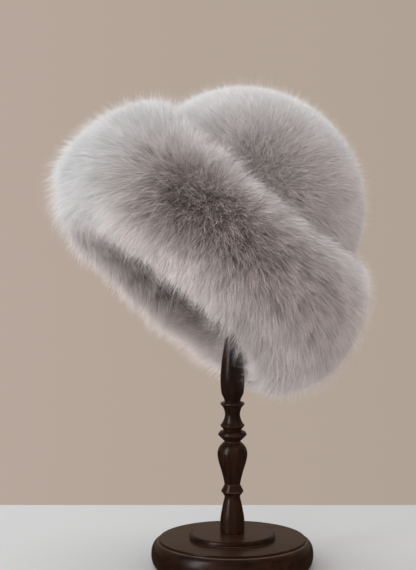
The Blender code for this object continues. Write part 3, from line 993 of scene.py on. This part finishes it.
def curved_line(points, sharp, steps):
    """A line through the points, curved by Catmull-Rom except where a point is sharp, and whether
    each of its points is a corner."""
    line = []
    corner = []
    last = len(points) - 1
    for i in range(last):
        a, b = points[i], points[i + 1]
        before = a - (b - a) if i == 0 or sharp[i] else points[i - 1]
        after = b + (b - a) if i + 1 == last or sharp[i + 1] else points[i + 2]
        count = 1 if sharp[i] and sharp[i + 1] else steps
        for k in range(count):
            line.append(spline_point(before, a, b, after, k / count))
            corner.append(sharp[i] and k == 0)
    line.append(points[last])
    corner.append(sharp[last])
    return line, corner


def eased(line, corner, radius):
    """The line with its corners rounded, and how worn each of its points is."""
    rows = [line[0]]
    worn = [0.0]
    for i in range(1, len(line) - 1):
        here = line[i]
        if not corner[i]:
            rows.append(here)
            worn.append(0.0)
            continue
        before, after = line[i - 1] - here, line[i + 1] - here
        reach = min(radius, 0.45 * before.length, 0.45 * after.length)
        start = here + reach * before.normalized()
        end = here + reach * after.normalized()
        for t in (0.0, 0.33, 0.67, 1.0):
            rows.append(start * (1 - t) ** 2 + here * 2 * t * (1 - t) + end * t**2)
            worn.append(1.0 if 0 < t < 1 else 0.0)
    rows.append(line[-1])
    worn.append(0.0)
    return rows, worn


def turned_piece(name, rows, worn, sides, look):
    """A turned piece that takes its node's place, from (radius, height) rows. Its top face is marked
    for a painted sheen."""
    angles = np.linspace(0, 2 * math.pi, sides, endpoint=False)
    radius = np.array([row.x for row in rows])
    height = np.array([row.y for row in rows])
    spots = np.stack(
        [
            np.outer(np.cos(angles), radius),
            np.outer(np.sin(angles), radius),
            np.outer(np.ones(sides), height),
        ],
        axis=-1,
    )
    index = np.arange(sides * len(rows)).reshape(sides, len(rows))
    index[:, 0] = index[0, 0]
    index[:, -1] = index[0, -1]
    around = np.roll(index, -1, axis=0)
    corners = np.stack([index[:, :-1], index[:, 1:], around[:, 1:], around[:, :-1]], axis=-1)
    faces = [list(dict.fromkeys(face)) for face in corners.reshape(-1, 4).tolist()]
    mesh = bpy.data.meshes.new(name + "_turned")
    mesh.from_pydata(spots.reshape(-1, 3).tolist(), [], faces)
    # The top face, which gets a painted sheen
    painted_top_sheen = height > height.max() - SAME_PLACE
    for key, values in (("worn", worn), ("painted_top_sheen", painted_top_sheen)):
        add_values(mesh, key, np.tile(values, sides))
    unused = sorted(set(range(sides * len(rows))) - set(index.ravel().tolist()))
    shaper = bmesh.new()
    shaper.from_mesh(mesh)
    shaper.verts.ensure_lookup_table()
    bmesh.ops.delete(shaper, geom=[shaper.verts[i] for i in unused], context="VERTS")
    bmesh.ops.recalc_face_normals(shaper, faces=shaper.faces)
    shaper.to_mesh(mesh)
    shaper.free()
    mesh.shade_smooth()
    mesh.set_sharp_from_angle(angle=SHARP_ANGLE)
    made = new_object(name + "_turned", mesh, look)
    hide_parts(name)


def arc_points(middle, across, up, start, end, steps):
    """Points of an elliptical arc about the middle, between two angles in degrees."""
    turns = [math.radians(start + (end - start) * k / steps) for k in range(steps + 1)]
    return [middle + Vector((across * math.cos(t), up * math.sin(t))) for t in turns]


def stand_pieces():
    """Name, line from the top down and which of its points are corners, for each turned piece."""
    riser_foot = BASE_HEIGHT + JOINT_GAP
    riser_top = riser_foot + RISER_HEIGHT
    post_foot = riser_top + JOINT_GAP
    knob = post_foot + POST_HEIGHT
    knob_foot = knob - math.sqrt(KNOB_RADIUS**2 - KNOB_NECK_RADIUS**2)

    bead = 0.5 * (BASE_HEIGHT - BASE_LIP)
    neck = 0.8 * BASE_TOP_RADIUS + 0.2 * BASE_RADIUS
    base = [Vector((0.0, BASE_HEIGHT)), Vector((0.5 * BASE_TOP_RADIUS, BASE_HEIGHT))]
    lip = Vector((BASE_TOP_RADIUS - LIP_EASE, BASE_HEIGHT - LIP_EASE))
    base += arc_points(lip, LIP_EASE, LIP_EASE, 90, 0, 4)
    base.append(Vector((BASE_TOP_RADIUS, 2 * bead)))
    corners = [False] * (len(base) - 1) + [True]
    round_side = arc_points(
        Vector((neck, bead)), BASE_RADIUS - neck, bead, 90, -90, ROUND_STEPS
    )
    base += round_side + [Vector((0.0, 0.0))]
    corners += [True] + [False] * (len(round_side) - 2) + [True, False]
    yield "stand_base", base, corners

    edge = 0.6 * RISER_HEIGHT
    rim = arc_points(Vector((RISER_RADIUS - edge, riser_top - edge)), edge, edge, 90, 0, 8)
    riser = [Vector((0.0, riser_top)), *rim]
    riser += [Vector((RISER_RADIUS, riser_foot)), Vector((0.0, riser_foot))]
    yield "stand_riser", riser, [False] * (len(riser) - 2) + [True, False]

    points = [
        Vector((row["out"] * POST_RADIUS, post_foot + row["up"] * POST_HEIGHT))
        for row in POST_PROFILE
    ]
    line, corner = curved_line(points, [row["sharp"] for row in POST_PROFILE], 6)
    shank_top = knob_foot - JOINT_GAP
    post = [Vector((0.0, shank_top)), Vector((KNOB_NECK_RADIUS, shank_top))]
    post += list(reversed(line)) + [Vector((0.0, post_foot))]
    yield "stand_post", post, [False, True, *reversed(corner), False]

    low = math.degrees(math.asin((knob_foot - knob) / KNOB_RADIUS))
    ball = arc_points(Vector((0.0, knob)), KNOB_RADIUS, KNOB_RADIUS, 90, low, ROUND_STEPS)
    ball[0].x = 0.0
    yield "stand_knob", [*ball, Vector((0.0, knob_foot))], [False] * ROUND_STEPS + [True, False]


def make_table():
    """The pale table top, which is stage only."""
    mesh = bpy.data.meshes.new("table_top")
    half, front = 1.6, -2.2
    mesh.from_pydata(
        [(-half, front, 0), (half, front, 0), (half, TABLE_BACK, 0), (-half, TABLE_BACK, 0)],
        [],
        [(0, 1, 2, 3)],
    )
    made = bpy.data.objects.new("table_top", mesh)
    bpy.context.scene.collection.objects.link(made)
    look, _, shader = new_look("pale_table", 0.5, 0.3)
    shader.inputs["Base Color"].default_value = (0.68, 0.68, 0.675, 1.0)
    mesh.materials.append(look)
    made.visible_glossy = False
    made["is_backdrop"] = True


def area_light(name, place, size, power, colour, mirrored=False):
    """A light that faces LIT_POINT. size: width and height, mirrored: whether polished wood shows it
    as a highlight."""
    light = bpy.data.lights.new(name, "AREA")
    light.shape = "RECTANGLE"
    light.size, light.size_y = size
    light.energy = power
    light.color = colour
    made = bpy.data.objects.new(name, light)
    bpy.context.scene.collection.objects.link(made)
    made.location = place
    way = Vector(LIT_POINT) - Vector(place)
    made.rotation_euler = way.to_track_quat("-Z", "Y").to_euler()
    made.visible_glossy = mirrored


def studio():
    """Soft daylight that is stronger from above and from the left, before a plain warm backdrop.
    Polished wood mirrors a dimmer room, so that its edges stay dark."""
    world = bpy.data.worlds.new("studio")
    bpy.context.scene.world = world
    world.use_nodes = True
    tree = world.node_tree
    shader = tree.nodes["Background"]
    place = node_of(tree, "ShaderNodeTexCoord")
    facing = node_of(tree, "ShaderNodeVectorMath", operation="DOT_PRODUCT")
    facing.inputs[1].default_value = Vector((-0.68, 0.22, 0.70)).normalized()
    tree.links.new(place.outputs["Generated"], facing.inputs[0])
    share = map_range(tree, facing.outputs["Value"], -0.8, 1.0, 0.0, 1.0)
    light = ramp(tree, share, ((0.0, (0.53, 0.435, 0.42)), (1.0, (0.675, 0.72, 0.73))))
    parts = node_of(tree, "ShaderNodeSeparateXYZ")
    tree.links.new(place.outputs["Generated"], parts.inputs["Vector"])
    side = map_range(tree, parts.outputs["X"], -0.16, 0.12, 0.0, 1.0)
    backdrop = ramp(tree, side, ((0.0, (0.478, 0.386, 0.333)), (1.0, (0.435, 0.362, 0.300))))
    path = node_of(tree, "ShaderNodeLightPath")
    wall = map_range(tree, parts.outputs["Y"], 0.3, 0.8, 0.0, 1.0)
    wall = multiply(tree, wall, map_range(tree, parts.outputs["Z"], 0.0, 0.06, 0.0, 1.0))
    room = ramp(tree, wall, ((0.0, (0.040, 0.031, 0.025)), (1.0, (0.225, 0.176, 0.140))))
    unlit = mixed(tree, path.outputs["Is Glossy Ray"], light, room)
    seen = mixed(tree, path.outputs["Is Camera Ray"], unlit, backdrop)
    tree.links.new(seen, shader.inputs["Color"])
    shader.inputs["Strength"].default_value = 1.0
    area_light("key", (-0.3, -1.9, 1.3), (1.3, 1.3), 12.5, (1.08, 0.985, 0.97))
    area_light("window", (-1.26, -0.96, 0.85), (0.45, 1.4), 7.0, (0.96, 1.0, 1.02), mirrored=True)
    area_light("top", (-0.2, 0.6, 1.8), (1.3, 1.3), 10.0, (0.96, 1.0, 1.03))
    area_light("back", (-1.0, 1.6, 0.2), (1.1, 1.1), 3.0, (1.0, 0.95, 0.92))


def camera():
    """The photograph's view."""
    data = bpy.data.cameras.new("camera")
    data.lens = CAMERA_LENS
    data.sensor_width = CAMERA_SENSOR
    made = bpy.data.objects.new("camera", data)
    bpy.context.scene.collection.objects.link(made)
    made.location = CAMERA_PLACE
    made.rotation_euler = (math.radians(90) - CAMERA_PITCH, 0.0, 0.0)
    bpy.context.scene.camera = made


def make_hat():
    """The fur over both walls of pelt, which keep their shape from model.glb and are given a suede
    look.
    """
    hair = fur_look()
    name = "crown_undercoat"
    under = undercoat_look(name, low=(0.60, 0.54, 0.53), high=(0.76, 0.71, 0.70))
    undercoat(name, crown_point, crown_zone, 120, 60, under, "crown_fur", closed_top=True)
    name = "cuff_undercoat"
    under = undercoat_look(name, low=(0.46, 0.405, 0.395), high=(0.64, 0.58, 0.57))
    undercoat(name, cuff_point, cuff_zone, 180, 90, under, "cuff_fur")
    for layer in CROWN_LAYERS:
        make_crown_hairs(hair, **layer)
    for layer in CUFF_LAYERS:
        make_cuff_hairs(hair, **layer)
    suede = suede_look()
    for node in ("crown_wall", "cuff_wall"):
        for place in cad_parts[node].material_slots:
            place.material = suede


def make_stand():
    """The turned stand. The post's corners are rubbed less, except at its foot."""
    upright = wood_look("upright_wood", (1.0, 1.0, 0.10))
    flat = wood_look("flat_wood", (0.10, 1.0, 1.0))
    for name, line, corner in stand_pieces():
        rows, worn = eased(line, corner, EASED_EDGE)
        if name == "stand_post":
            foot = min(row.y for row in rows)
            worn = [w if row.y < foot + EASED_EDGE else 0.25 * w for row, w in zip(rows, worn)]
        low = name in ("stand_base", "stand_riser")
        sides = FLAT_SIDES if low else UPRIGHT_SIDES
        turned_piece(name, rows, worn, sides, flat if low else upright)


bpy.context.scene.view_settings.view_transform = "Standard"
make_hat()
make_stand()
make_table()
studio()
camera()

boxes = {"cad": CAD_BOUNDS, "visual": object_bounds()}
{k: [list(c) for c in v] for k, v in boxes.items()}
